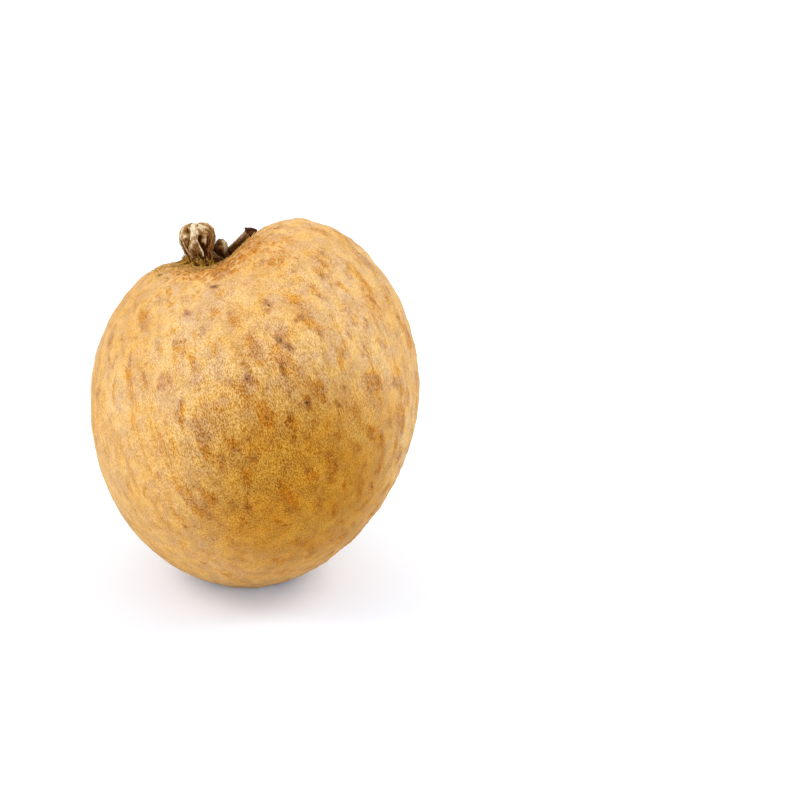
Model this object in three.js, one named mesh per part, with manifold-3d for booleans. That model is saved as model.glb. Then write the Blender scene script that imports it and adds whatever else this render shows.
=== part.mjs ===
// A whole longan fruit with the broken stub of its stalk.
//
// Millimetres. +Z is up, +X is to the right and -Y is the front. The origin is the middle of the small
// flat spot that the fruit rests on. A place on the rind is given by two angles as seen from the middle
// of the fruit: `lean`, from straight up towards +X, and `back`, from there towards +Y.

import * as THREE from 'three';
import { mergeVertices } from 'three/addons/utils/BufferGeometryUtils.js';
import Module from 'manifold-3d';

const wasm = await Module();
wasm.setup();

// ---- the fruit ----
const CENTRE = new THREE.Vector3(0.9, 0, 15.1); // middle of the fruit, above the flat it rests on
const HALF_LONG = 15.2; // half lengths of the egg: along its leaning axis,
const HALF_CROSS = 13.1; // across it to the side,
const HALF_DEPTH = 14.0; // and from front to back
const EGG_LEAN = 23; // degrees that the long axis leans towards +X
const SWELLS = [
  // a soft swelling of the rind: height in mm, the lean it faces and how wide it spreads, in degrees
  { height: 1.1, lean: -56, spread: 40 }, // left shoulder
  { height: 1.05, lean: 19, spread: 24 }, // right shoulder, the higher one
  { height: 0.8, lean: 176, spread: 30 }, // underside
];
const DIP = { depth: 3.1, lean: -15, back: 12, across: 14, along: 24 }; // where the stalk grows
const FRUIT_DETAIL = 21; // each icosahedron face is split into (detail + 1)^2 triangles

// ---- the rind's low warts, drawn out along lines from the stalk to the blossom end ----
const WART_COUNT = 560;
const WART_HEIGHT = 0.26;
const WART_LONG = 3.6; // degrees from a wart's middle to where it has fallen to 37%, along the line
const WART_WIDE = 2.6; // and across it
const WART_STRAY = 0.35; // how far a wart strays from its even place, as a part of the spacing
const WART_REACH = 11; // degrees past which a wart adds nothing
const NET_DEPTH = 0.08; // the net between the warts lies this much lower than the mean surface

// ---- the stalk ----
const STALK = { lean: -22.9, back: 15.5 }; // where it leaves the rind
const STALK_TOP = { lean: -19.85, back: 16, lift: 3.94 }; // middle of its broken end
const ROOT_DEPTH = 1.3; // how deep the woody root of the stalk goes into the fruit
const ROOT_RADIUS = 0.95;
const FIT_GAP = 0.12; // clear space between pieces that grow against each other
const KNOB_SIDES = 32;
const KNOB_STEPS = 17;
// height above the rind and radius of the swollen stub, from the rind to the broken end
const KNOB_PROFILE = [
  [0, 1.03], [0.5, 1.02], [0.95, 1.06], [1.45, 1.21], [1.95, 1.34], [2.4, 1.44], [2.85, 1.44], [3.15, 1.35],
  [3.4, 1.15], [3.55, 0.9], [3.7, 0.5],
];
// folds of the stub: degrees round it from +X towards +Y, mm in (-) or out (+), degrees of spread,
// and the height of its middle with how far it reaches up and down
const KNOB_FOLDS = [
  { turn: -101, out: 0.13, spread: 14, height: 2.3, reach: 1.6 }, // pale front ridge
  { turn: -119, out: -0.3, spread: 11, height: 3.0, reach: 0.38 }, // pits in the left lobe
  { turn: -131, out: -0.18, spread: 9, height: 2.45, reach: 0.3 },
  { turn: -73, out: -0.44, spread: 13, height: 1.6, reach: 0.8 }, // deep front groove
  { turn: -56, out: 0.12, spread: 18, height: 2.8, reach: 0.55 }, // right lobe, over the groove
  { turn: -40, out: -0.12, spread: 9, height: 1.9, reach: 0.7 },
  { turn: -20, out: 0.1, spread: 12, height: 1.5, reach: 1.2 },
  { turn: 14, out: -0.18, spread: 13, height: 2.0, reach: 1.2 },
  { turn: 45, out: 0.1, spread: 15, height: 2.3, reach: 1.4 },
  { turn: 78, out: -0.24, spread: 13, height: 1.8, reach: 1.2 },
  { turn: 110, out: 0.12, spread: 17, height: 2.5, reach: 1.4 },
  { turn: 145, out: -0.2, spread: 13, height: 2.0, reach: 1.3 },
  { turn: 172, out: 0.1, spread: 14, height: 2.2, reach: 1.4 },
  { turn: -156, out: -0.14, spread: 11, height: 1.5, reach: 1.2 },
];

// ---- the side twig: a round knuckle beside the stub, then a thin twig up the right shoulder ----
const KNUCKLE = { lean: -14.25, back: 20, lift: 1.37, radius: 0.6, tall: 0.84 };
const TWIG = [
  // places of its middle line, and its radius there
  { lean: -19.3, back: 17.5, lift: 1.05, radius: 0.45 },
  { lean: -16.6, back: 19.5, lift: 0.85, radius: 0.5 },
  { lean: -14.3, back: 21.3, lift: 0.78, radius: 0.45 },
  { lean: -11.8, back: 22.3, lift: 0.66, radius: 0.38 },
  { lean: -9.3, back: 19.5, lift: 0.75, radius: 0.345 },
  { lean: -6.9, back: 16, lift: 0.73, radius: 0.34 },
  { lean: -4.7, back: 12.5, lift: 0.64, radius: 0.34 },
  { lean: -2.8, back: 10.5, lift: 0.57, radius: 0.37 },
  { lean: -1.3, back: 9.5, lift: 0.5, radius: 0.48 }, // flared scar at its end
];
const TWIG_SIDES = 12;
const TWIG_STEPS = 24;

// ---- the calyx: short dry sepals pressed on the rind round the stalk ----
const SEPALS = 5;
const SEPAL_NOTCH = 1.25; // radius between two sepals
const SEPAL_TIP = 1.65; // radius at a sepal's tip
const SEPAL_TURN = 20; // degrees that the first sepal is turned from +X
const SEPAL_POINTS = 10; // outline points in one sepal
const CALYX_THICK = 0.32;

const rad = THREE.MathUtils.degToRad;
const bell = (value, spread) => Math.exp(-((value / spread) ** 2));

// The unit vector that faces a given lean and back.
function facing(lean, back = 0) {
  const side = Math.cos(rad(back));
  return new THREE.Vector3(Math.sin(rad(lean)) * side, Math.sin(rad(back)), Math.cos(rad(lean)) * side);
}

// A number from 0 to 1 that looks random but is the same each time.
function scatter(index, kind) {
  const wave = Math.sin(index * 12.9898 + kind * 78.233) * 43758.5453;
  return wave - Math.floor(wave);
}

// How far the smooth rind is from the middle of the fruit: an egg, its swells and the stalk's dip.
const eggLong = facing(EGG_LEAN);
const eggCross = facing(EGG_LEAN + 90);
const swells = SWELLS.map((swell) => ({ ...swell, axis: facing(swell.lean) }));
const dipAxis = facing(DIP.lean, DIP.back);
const dipAcross = facing(DIP.lean + 90);
const dipAlong = dipAxis.clone().cross(dipAcross);
function rindRadius(way) {
  const along = way.dot(eggLong) / HALF_LONG;
  const aside = way.dot(eggCross) / HALF_CROSS;
  let radius = 1 / Math.hypot(along, aside, way.y / HALF_DEPTH);
  for (const { height, axis, spread } of swells) {
    radius += height * bell(THREE.MathUtils.radToDeg(way.angleTo(axis)), spread);
  }
  const ahead = way.dot(dipAxis);
  if (ahead > 0) {
    const dipAside = THREE.MathUtils.radToDeg(Math.atan2(way.dot(dipAcross), ahead));
    const dipDown = THREE.MathUtils.radToDeg(Math.atan2(way.dot(dipAlong), ahead));
    radius -= DIP.depth * bell(dipAside, DIP.across) * bell(dipDown, DIP.along);
  }
  return radius;
}

// The warts: a sunflower spiral about the stalk's axis spaces them evenly, and each strays a little.
function placeWarts() {
  const pole = facing(STALK.lean, STALK.back);
  const turn = new THREE.Quaternion().setFromUnitVectors(new THREE.Vector3(0, 0, 1), pole);
  const spacing = Math.sqrt((4 * Math.PI) / WART_COUNT);
  const goldenAngle = Math.PI * (3 - Math.sqrt(5));
  const warts = [];
  for (let index = 0; index < WART_COUNT; index++) {
    const stray = WART_STRAY * spacing * 2;
    const fall = Math.acos(1 - (2 * index + 1) / WART_COUNT) + stray * (scatter(index, 1) - 0.5);
    const round = index * goldenAngle + (stray * (scatter(index, 2) - 0.5)) / Math.max(Math.sin(fall), 0.2);
    const middle = new THREE.Vector3().setFromSphericalCoords(1, fall, round);
    middle.set(middle.x, middle.z, middle.y).applyQuaternion(turn);
    const across = pole.clone().cross(middle).normalize();
    warts.push({ middle, across, along: middle.clone().cross(across), size: 0.6 + 0.8 * scatter(index, 3) });
  }
  return warts;
}

const warts = placeWarts();
const wartReach = Math.cos(rad(WART_REACH));
function rindRelief(way) {
  let height = -NET_DEPTH;
  for (const { middle, across, along, size } of warts) {
    if (way.dot(middle) > wartReach) {
      const aside = THREE.MathUtils.radToDeg(way.dot(across));
      const down = THREE.MathUtils.radToDeg(way.dot(along));
      height += WART_HEIGHT * size * bell(aside, WART_WIDE) * bell(down, WART_LONG);
    }
  }
  return height;
}

// A point that is `lift` mm above the rind at a given place.
function aboveRind({ lean, back, lift = 0 }) {
  const way = facing(lean, back);
  return way.multiplyScalar(rindRadius(way) + lift).add(CENTRE);
}

// ---- closed meshes and solids ----
function sharedVertices(geometry) {
  geometry.deleteAttribute('normal');
  geometry.deleteAttribute('uv');
  return mergeVertices(geometry, 1e-5);
}

function toSolid(geometry) {
  const closed = sharedVertices(geometry);
  const mesh = new wasm.Mesh({
    numProp: 3,
    vertProperties: closed.attributes.position.array,
    triVerts: new Uint32Array(closed.index.array),
  });
  return new wasm.Manifold(mesh);
}

function toMesh(name, solid, material) {
  const { vertProperties, triVerts } = solid.getMesh();
  const geometry = new THREE.BufferGeometry();
  geometry.setAttribute('position', new THREE.BufferAttribute(vertProperties, 3));
  geometry.setIndex(new THREE.BufferAttribute(triVerts, 1));
  const flat = geometry.toNonIndexed();
  flat.computeVertexNormals();
  const mesh = new THREE.Mesh(flat, material);
  mesh.name = name;
  return mesh;
}

// The rind's surface with its warts, moved out by `lift`. Its lowest part is pressed flat on z = 0.
function rindSolid(lift) {
  const geometry = sharedVertices(new THREE.IcosahedronGeometry(1, FRUIT_DETAIL));
  const place = geometry.attributes.position;
  const way = new THREE.Vector3();
  for (let index = 0; index < place.count; index++) {
    way.fromBufferAttribute(place, index).normalize();
    const reach = rindRadius(way) + rindRelief(way) + lift;
    way.multiplyScalar(reach).add(CENTRE);
    place.setXYZ(index, way.x, way.y, Math.max(way.z, 0));
  }
  return toSolid(geometry);
}

// A rod of the given radius between two points.
function rodSolid(from, to, radius, sides = 24) {
  const geometry = new THREE.CylinderGeometry(radius, radius, from.distanceTo(to), sides);
  const turn = new THREE.Quaternion().setFromUnitVectors(
    new THREE.Vector3(0, 1, 0),
    to.clone().sub(from).normalize(),
  );
  geometry.applyQuaternion(turn);
  const middle = from.clone().add(to).multiplyScalar(0.5);
  geometry.translate(middle.x, middle.y, middle.z);
  return toSolid(geometry);
}

// A closed rod whose middle line is `curve` and whose radius at part t and angle `turn` is
// radiusAt(t, turn). Angles start at the `start` direction and go round the line.
function growSolid(curve, radiusAt, sides, steps, start) {
  const geometry = sharedVertices(new THREE.CylinderGeometry(1, 1, 1, sides, steps));
  const place = geometry.attributes.position;
  for (let index = 0; index < place.count; index++) {
    const part = THREE.MathUtils.clamp(place.getY(index) + 0.5, 0, 1);
    const turn = Math.atan2(-place.getZ(index), place.getX(index));
    const onWall = Math.hypot(place.getX(index), place.getZ(index)) > 0.5;
    const line = curve.getTangentAt(part);
    const side = start.clone().addScaledVector(line, -start.dot(line)).normalize();
    const other = line.clone().cross(side);
    const reach = onWall ? radiusAt(part, turn) : 0;
    const point = curve.getPointAt(part);
    point.addScaledVector(side, reach * Math.cos(turn)).addScaledVector(other, reach * Math.sin(turn));
    place.setXYZ(index, point.x, point.y, point.z);
  }
  return toSolid(geometry);
}

// The value at `x` on straight lines between [x, value] pairs.
function between(pairs, x) {
  const next = Math.max(1, pairs.findIndex(([at]) => at >= x));
  const [low, lowValue] = pairs[next - 1];
  const [high, highValue] = pairs[next];
  return THREE.MathUtils.mapLinear(THREE.MathUtils.clamp(x, low, high), low, high, lowValue, highValue);
}

// ---- the pieces ----
const rightwards = new THREE.Vector3(1, 0, 0);
const backwards = new THREE.Vector3(0, 1, 0);
const stalkBase = aboveRind(STALK);
const stalkTop = aboveRind(STALK_TOP);
const stalkHeight = stalkBase.distanceTo(stalkTop);
const stalkLine = stalkTop.clone().sub(stalkBase).normalize();
const alongStalk = (height) => stalkBase.clone().addScaledVector(stalkLine, height);

function knobSolid() {
  const radiusAt = (part, turn) => {
    const height = part * stalkHeight;
    let radius = between(KNOB_PROFILE, height);
    for (const fold of KNOB_FOLDS) {
      const away = Math.abs(((THREE.MathUtils.radToDeg(turn) - fold.turn + 540) % 360) - 180);
      radius += fold.out * bell(away, fold.spread) * bell(height - fold.height, fold.reach);
    }
    return radius;
  };
  return growSolid(new THREE.LineCurve3(stalkBase, stalkTop), radiusAt, KNOB_SIDES, KNOB_STEPS, rightwards);
}

function twigSolid() {
  const curve = new THREE.CatmullRomCurve3(TWIG.map(aboveRind));
  const lengths = curve.getLengths(TWIG_STEPS * (TWIG.length - 1));
  const radii = TWIG.map((place, index) => [
    lengths[index * TWIG_STEPS] / lengths[lengths.length - 1],
    place.radius,
  ]);
  return growSolid(curve, (part) => between(radii, part), TWIG_SIDES, TWIG_STEPS, backwards);
}

function knuckleSolid() {
  const ball = new THREE.SphereGeometry(KNUCKLE.radius, 16, 12);
  ball.scale(1, KNUCKLE.tall / KNUCKLE.radius, 1);
  ball.rotateX(Math.PI / 2);
  const place = aboveRind(KNUCKLE);
  ball.translate(place.x, place.y, place.z);
  return toSolid(ball);
}

// The calyx's star: straight-sided sepals of uneven length, with a hole for the stalk.
function calyxStar() {
  const outline = [];
  for (let index = 0; index < SEPALS * SEPAL_POINTS; index++) {
    const sepal = Math.floor(index / SEPAL_POINTS);
    const part = (index % SEPAL_POINTS) / SEPAL_POINTS;
    const rise = 1 - Math.abs(2 * part - 1);
    const tip = SEPAL_TIP - 0.25 * scatter(sepal, 4);
    const radius = THREE.MathUtils.lerp(SEPAL_NOTCH, tip, rise ** 1.3);
    const turn = rad(SEPAL_TURN) + (2 * Math.PI * index) / (SEPALS * SEPAL_POINTS);
    outline.push(new THREE.Vector2(radius * Math.cos(turn), radius * Math.sin(turn)));
  }
  const star = new THREE.Shape(outline);
  star.holes.push(new THREE.Path().absarc(0, 0, ROOT_RADIUS + FIT_GAP, 0, 2 * Math.PI, true));
  const height = 4;
  const geometry = new THREE.ExtrudeGeometry(star, { depth: height, bevelEnabled: false, curveSegments: 12 });
  geometry.translate(0, 0, -height / 2);
  geometry.applyQuaternion(new THREE.Quaternion().setFromUnitVectors(new THREE.Vector3(0, 0, 1), stalkLine));
  geometry.translate(stalkBase.x, stalkBase.y, stalkBase.z);
  return toSolid(geometry);
}

const rindMaterial = new THREE.MeshStandardMaterial({ color: 0xd9a564, roughness: 0.75, metalness: 0 });
const calyxMaterial = new THREE.MeshStandardMaterial({ color: 0x8a7a3c, roughness: 0.85, metalness: 0 });
const stalkMaterial = new THREE.MeshStandardMaterial({ color: 0x8c6a49, roughness: 0.8, metalness: 0 });

const rind = rindSolid(0);
const rootHole = rodSolid(alongStalk(-ROOT_DEPTH - FIT_GAP), alongStalk(1), ROOT_RADIUS + FIT_GAP);
const fruit = rind.subtract(rootHole);

const calyx = calyxStar().intersect(rindSolid(FIT_GAP + CALYX_THICK)).subtract(rindSolid(FIT_GAP));

// The stub, the knuckle and the twig are one piece of wood. It stands clear of the rind and the calyx,
// and only its root goes through them.
const overCalyx = rindSolid(2 * FIT_GAP + CALYX_THICK);
const nearCalyx = rodSolid(alongStalk(-2), alongStalk(2), SEPAL_TIP + FIT_GAP, 32);
const wood = knobSolid().add(knuckleSolid()).add(twigSolid());
const root = rodSolid(alongStalk(-ROOT_DEPTH), alongStalk(1), ROOT_RADIUS);
const stalk = wood.subtract(rindSolid(FIT_GAP)).subtract(overCalyx.intersect(nearCalyx)).add(root);

const longan = new THREE.Group();
longan.add(toMesh('fruit', fruit, rindMaterial));
longan.add(toMesh('calyx', calyx, calyxMaterial));
longan.add(toMesh('stalk', stalk, stalkMaterial));

export default longan;
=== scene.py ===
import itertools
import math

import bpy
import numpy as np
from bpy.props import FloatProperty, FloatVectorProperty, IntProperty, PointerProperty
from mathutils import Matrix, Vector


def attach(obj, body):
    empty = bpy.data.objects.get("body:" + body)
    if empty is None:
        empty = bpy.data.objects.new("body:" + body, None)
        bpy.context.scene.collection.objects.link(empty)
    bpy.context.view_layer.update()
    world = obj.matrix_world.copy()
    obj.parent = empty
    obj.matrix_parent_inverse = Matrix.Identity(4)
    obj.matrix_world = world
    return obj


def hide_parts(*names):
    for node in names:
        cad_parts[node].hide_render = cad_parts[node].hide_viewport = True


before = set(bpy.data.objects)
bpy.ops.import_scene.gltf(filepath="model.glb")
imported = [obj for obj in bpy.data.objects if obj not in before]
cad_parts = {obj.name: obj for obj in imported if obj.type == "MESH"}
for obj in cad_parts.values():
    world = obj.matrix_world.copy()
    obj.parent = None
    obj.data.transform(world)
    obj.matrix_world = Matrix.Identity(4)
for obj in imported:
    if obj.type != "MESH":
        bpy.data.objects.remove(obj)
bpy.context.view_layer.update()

# A whole longan with the broken stub of its stalk, lying on a plain white floor.
#
# Metres, +Z up, +X to the right and -Y to the front. Angles are in degrees. A place on the rind is given
# by two angles as seen from the middle of the fruit: `lean`, from straight up towards +X, and `back`,
# from there towards +Y. A third number, `lift`, is the height above the rind.

bl_info = {
    "name": "Longan fruit",
    "version": (1, 0, 0),
    "blender": (4, 5, 0),
    "location": "View3D > Sidebar > Longan",
    "description": "Builds a whole longan with its broken stalk and a plain studio around it",
    "category": "Add Mesh",
}

MM = 0.001
GOLDEN_ANGLE = math.pi * (3 - math.sqrt(5))

# ---- the fruit's shape, the same egg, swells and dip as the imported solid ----
CENTRE = np.array([0.9, 0.0, 15.1]) * MM
EGG_LEAN = 23
EGG_HALVES = np.array([15.2, 13.1, 14.0]) * MM  # along the leaning axis, across it, front to back
SWELLS = [(1.1 * MM, -56, 40), (1.05 * MM, 19, 24), (0.8 * MM, 176, 30)]  # height, lean faced, spread
DIP_DEPTH = 3.1 * MM
DIP_FACES = (-15, 12)
DIP_SPREADS = (14, 24)  # across and along the groove
STALK_FOOT = (-22.9, 15.5)
STALK_TOP = (-19.85, 16, 3.94 * MM)

# ---- parts of the rind that look different: where the middle of each is, and its spread in degrees ----
RIPE_AND_SHADE_FACES, RIPE_AND_SHADE_SPREAD = (0.29, -1.0, -0.21), 43  # the side that is riper, and so browner; also painted shade, darkest low in front on the right
FURRY_FACES, FURRY_SPREAD = (0.05, -1.0, 0.06), 31  # where the rind's fine fur is strongest
UNDER_SHADE_FACES, UNDER_SHADE_SPREAD = (-0.1, -0.45, -0.9), 42  # the underside in front, where the tan is warmer, partly as painted shade
PATCHY_FACES = (0.45, -0.9, -0.15)  # the side where the warts are darkest
CROWN_FACES, CROWN_SPREAD = (-13, -6), 18  # lean and back: the rough brown rind round the stalk
CRUMPLED_SPREAD = 40  # the crumpled rind round the same middle
DOWN_FACES, DOWN_SPREAD = (-18, 4), 22  # lean and back: the fine down in front of the stalk

# ---- warts and marks on the rind ----
WART_COUNT = 560
WART_STRAY = 0.35  # of the distance between warts that each may lie off its place
WART_REACH, MARK_REACH = 0.975, 0.96  # cosines of the angles past which they have faded out
PIT_HALF = 0.55  # half width of the pit in a mark, in degrees
RIND_MARKS = [
    # lean, back, half width, half length and slant in degrees, then how brown, scarred and pitted
    (-9.5, -17.0, 5.5, 4.0, 16, 1.4, 0.0, 0.0),
    (5.8, -36.8, 1.7, 2.6, 10, 0.4, 1.1, 1.0),
    (12.5, -48.3, 0.9, 1.9, 22, 0.2, 1.1, 0.0),
    (18.0, -49.7, 0.8, 1.4, 20, 0.2, 1.0, 0.0),
    (14.2, -47.6, 2.4, 4.4, 22, 0.6, 0.55, 0.0),
    (16.6, -56.4, 0.7, 2.7, -9, 0.5, 1.5, 0.0),
    (-4.0, -61.8, 1.3, 1.5, 8, 0.3, 0.5, 1.1),
    (10.4, -64.5, 1.0, 1.6, 0, 0.3, 0.6, 0.7),
    (20.0, -39.2, 1.6, 2.3, 39, 0.5, 0.8, 0.0),
    (25.2, -40.4, 1.5, 2.2, 40, 1.1, 0.1, 0.0),
    (-14.7, -26.2, 1.1, 1.4, 53, 0.2, 1.6, 0.8),
    (23.3, -29.4, 0.9, 2.4, 36, 0.5, 0.9, 0.0),
    (21.6, -17.9, 0.9, 4.2, 12, 0.5, 0.6, 0.0),
    (-16.5, -35.8, 1.6, 2.6, 10, 0.5, 0.0, 0.0),
    (2.3, -55.3, 1.5, 3.4, 0, 0.8, 0.3, 0.0),
    (40.4, -35.7, 0.8, 2.0, 20, 0.3, 1.0, 0.0),
    (42.8, -43.2, 0.9, 1.6, 10, 0.4, 0.8, 0.0),
    (44.2, -57.5, 1.8, 3.0, 30, 0.9, 0.35, 0.0),
    (53.9, -50.3, 0.8, 2.4, 14, 0.5, 0.9, 0.0),
    (62.9, -36.9, 1.0, 2.1, 15, 0.6, 0.8, 0.0),
    (44.0, -27.6, 1.4, 2.8, -13, 0.7, 0.7, 0.0),
    (38.1, -70.4, 1.6, 4.3, 7, 0.7, 0.55, 0.0),
    (76.8, -59.7, 1.7, 2.2, -3, 0.7, 0.7, 0.0),
    (-131.1, -71.0, 2.2, 2.9, -12, 0.9, 0.5, 0.0),
    (-171.8, -74.2, 1.3, 3.2, -26, 0.9, 1.1, 0.0),
]

# ---- the stub of the stalk, in mm ----
STUB_SUNK = 0.9  # its root goes this far into the rind
STUB_TORN = 3.2  # height at which its torn upper edge starts
STUB_GIRTH = 1.35  # radius that its skin is measured and grained on
STUB_TWIST = 7  # degrees that its grain turns for each mm of height
STUB_PROFILE = [  # height above the rind and radius
    (-0.9, 0.92), (0, 1.0), (0.5, 1.02), (0.95, 1.06), (1.45, 1.20), (1.95, 1.33), (2.4, 1.42),
    (2.85, 1.42), (3.15, 1.35), (3.42, 1.17), (3.58, 0.93), (3.66, 0.5),
]
STUB_MARKS = [
    # ridges and hollows: how far out, paler (+) or darker (-), redness, half width, and the places each
    # runs through, as degrees round the stub from +X towards +Y and height. The paler and darker tone is
    # partly the wood's own and partly painted: painted shade in the hollows, painted light on the ridges
    (0.14, 0.8, 0.0, 0.28, [(-88, 3.7), (-92, 3.4), (-95, 2.85)]),
    (0.12, 0.15, 0.0, 0.28, [(-97, 2.6), (-101, 2.3), (-110, 1.8)]),
    (0.08, 0.7, 0.0, 0.24, [(-103, 2.1), (-118, 1.6), (-125, 1.2)]),
    (-0.17, -0.9, 0.2, 0.15, [(-112, 3.05), (-116, 2.95), (-126, 3.2)]),
    (0.02, 0.6, 0.0, 0.18, [(-110, 3.45), (-122, 3.4), (-134, 3.3)]),
    (-0.10, -0.9, 0.5, 0.17, [(-118, 3.25), (-134, 3.3)]),
    (0.10, 0.6, 0.2, 0.17, [(-122, 2.8), (-126, 2.76)]),
    (-0.20, -1.3, 0.3, 0.11, [(-130, 2.5), (-133, 2.45)]),
    (-0.08, -0.5, 0.0, 0.12, [(-118, 2.6), (-119, 2.5)]),
    (-0.12, -0.6, 0.0, 0.10, [(-110, 2.9), (-118, 2.4), (-128, 1.9), (-134, 1.4)]),
    (-0.06, -0.8, 0.3, 0.20, [(-152, 1.5), (-150, 1.15), (-146, 0.9)]),
    (0.06, -0.1, 0.0, 0.20, [(-160, 2.6), (-160, 1.9), (-166, 1.3)]),
    (0.0, -0.6, 0.3, 0.30, [(-138, 2.1), (-136, 1.5), (-130, 0.9)]),
    (0.13, 0.65, 0.1, 0.09, [(-91, 2.3), (-88, 2.0), (-84, 1.6), (-77, 1.25), (-76, 0.95)]),
    (-0.07, 0.15, 0.5, 0.20, [(-95, 1.75), (-98, 1.3), (-100, 0.9)]),
    (-0.34, -2.6, 0.0, 0.15, [(-80, 2.5), (-82, 2.1), (-79, 1.75)]),
    (-0.30, -2.7, 0.0, 0.22, [(-71, 1.65), (-66, 1.35), (-64, 1.0)]),
    (-0.03, 1.4, 0.3, 0.20, [(-71, 2.2), (-61, 2.12), (-54, 1.9)]),
    (0.17, 0.5, 0.1, 0.36, [(-66, 3.2), (-54, 2.95), (-58, 2.65)]),
    (0.03, 0.2, 0.0, 0.22, [(-68, 3.5), (-60, 3.3)]),
    (-0.16, -0.9, 1.0, 0.11, [(-55, 3.05), (-54, 2.98)]),
    (-0.08, -0.6, 0.3, 0.08, [(-70, 2.85), (-64, 2.72), (-54, 2.66)]),
    (-0.08, -0.6, 0.2, 0.08, [(-47, 2.95), (-43, 2.75), (-40, 2.45)]),
    (-0.14, -1.2, 0.2, 0.12, [(-51, 2.4), (-51, 2.0), (-52, 1.6)]),
    (0.04, 0.1, 1.0, 0.10, [(-43, 2.4), (-38, 2.0), (-42, 1.6)]),
    (-0.14, -1.0, 0.5, 0.10, [(-33, 2.3), (-30, 1.8), (-34, 1.2)]),
    (0.10, 0.0, 0.0, 0.16, [(-16, 2.62), (-17, 2.45)]),
    (-0.12, -0.8, 0.0, 0.12, [(-22, 3.1), (-12, 2.2), (-16, 1.3)]),
    (0.08, 0.3, 0.0, 0.20, [(2, 3.3), (6, 2.2), (0, 1.2)]),
    (-0.26, -1.3, 0.1, 0.22, [(24, 2.7), (28, 1.9), (24, 1.1)]),
    (0.10, 0.6, 0.0, 0.26, [(48, 3.4), (50, 2.3), (44, 1.2)]),
    (-0.30, -1.5, 0.1, 0.22, [(76, 2.4), (80, 1.6), (78, 1.0)]),
    (-0.14, -0.8, 0.5, 0.15, [(70, 3.2), (74, 3.0)]),
    (0.12, 0.7, 0.0, 0.28, [(104, 3.5), (110, 2.4), (116, 1.3)]),
    (-0.24, -1.2, 0.2, 0.20, [(140, 2.9), (146, 2.0), (142, 1.2)]),
    (0.10, 0.4, 0.0, 0.24, [(168, 3.3), (172, 2.3), (176, 1.2)]),
    (-0.12, -0.8, 0.4, 0.13, [(160, 2.9), (158, 2.7)]),
]
STUB_STRIPS = [
    # torn strips of fibre: width, lift, tone, redness, and the places each runs through, as above
    (0.17, 0.03, 0.9, 0.1, [(-92, 2.35), (-88, 2.0), (-84, 1.6), (-77, 1.25), (-75, 0.85)]),
    (0.20, 0.02, 0.7, 0.0, [(-84, 3.66), (-87, 3.3), (-86, 2.9), (-89, 2.4)]),
    (0.16, 0.02, 0.9, 0.0, [(-96, 3.6), (-101, 3.2), (-107, 2.7), (-112, 2.2)]),
    (0.18, 0.05, 0.2, 0.2, [(-112, 2.3), (-120, 1.8), (-126, 1.3), (-124, 0.9)]),
    (0.16, 0.05, -0.5, 0.9, [(-44, 2.5), (-38, 2.05), (-43, 1.6), (-40, 1.1)]),
    (0.13, 0.06, -0.1, 0.6, [(-35, 2.2), (-36, 1.5), (-31, 0.9), (-30, 0.3)]),
    (0.14, 0.05, -0.5, 0.4, [(-47, 1.7), (-49, 1.1), (-45, 0.3)]),
    (0.15, 0.03, -0.2, 0.2, [(-58, 1.0), (-57, 0.6), (-60, 0.1)]),
    (0.14, 0.03, -0.1, 0.2, [(-20, 2.3), (-17, 1.4), (-21, 0.4)]),
    (0.11, 0.06, 1.3, 0.0, [(-104, 0.80), (-103, 0.45), (-103, 0.10)]),
    (0.22, 0.02, 0.3, 0.0, [(-150, 3.0), (-147, 2.2), (-138, 1.2), (-130, 0.4)]),
    (0.18, 0.02, 0.3, 0.0, [(-172, 3.0), (-168, 1.8), (-158, 0.6)]),
    (0.24, 0.02, 0.5, 0.0, [(24, 3.5), (27, 2.4), (22, 1.1), (18, 0.2)]),
    (0.26, 0.02, 0.6, 0.0, [(94, 3.5), (90, 2.6), (96, 1.3), (101, 0.2)]),
    (0.20, 0.02, 0.4, 0.0, [(160, 3.3), (156, 2.2), (150, 0.9)]),
]

# ---- the side twig and its knuckle ----
TWIG_ROUTE = [  # lean, back, and in mm the lift of its middle line and its radius
    (-19.3, 17.5, 1.05, 0.42), (-16.6, 19.5, 0.85, 0.50), (-14.3, 21.3, 0.78, 0.45),
    (-11.8, 22.3, 0.66, 0.38), (-9.3, 19.5, 0.75, 0.345), (-6.9, 16, 0.73, 0.335),
    (-4.7, 12.5, 0.64, 0.335), (-2.8, 10.5, 0.57, 0.36), (-1.45, 9.6, 0.51, 0.45),
]
TWIG_CUT = 0.75  # slope of its broken end: how much further its lower side runs
KNUCKLE = (-14.25, 20, 1.37 * MM)
KNUCKLE_HALVES = np.array([0.60, 0.80, 0.86]) * MM

# ---- the sepals and the fibres round the foot ----
SEPAL_COUNT = 5
FIBRE_SIDES = 3  # a fibre is a thin tube with three sides

# ---- the studio ----
FRAME_PIXELS = 793  # width and height of the frame
FLOOR_HALF = 3.0  # half the side of the floor, in metres
FLOOR_DROP = 0.02 * MM  # the floor lies this far below the rest spot, so that the two never fight


# ---------------------------------------------------------------------------------------------------
# Numbers and places
# ---------------------------------------------------------------------------------------------------

def bell(value, spread):
    """A smooth hump: 1 where value is 0, and 37% at one spread."""
    return np.exp(-((value / spread) ** 2))


def facing(lean, back=0.0):
    """Unit vectors that face a lean from straight up towards +X and then a back towards +Y."""
    lean, back = np.broadcast_arrays(np.radians(lean), np.radians(back))
    return np.stack([np.sin(lean) * np.cos(back), np.sin(back), np.cos(lean) * np.cos(back)], -1)


def from_pole(fall, turn):
    """Unit vectors at an angle in radians from the third axis and at a turn about it from the first."""
    fall, turn = np.broadcast_arrays(fall, turn)
    return np.stack([np.sin(fall) * np.cos(turn), np.sin(fall) * np.sin(turn), np.cos(fall)], -1)


def unit(vectors):
    """The vectors at length one."""
    return vectors / np.linalg.norm(vectors, axis=-1, keepdims=True)


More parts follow.
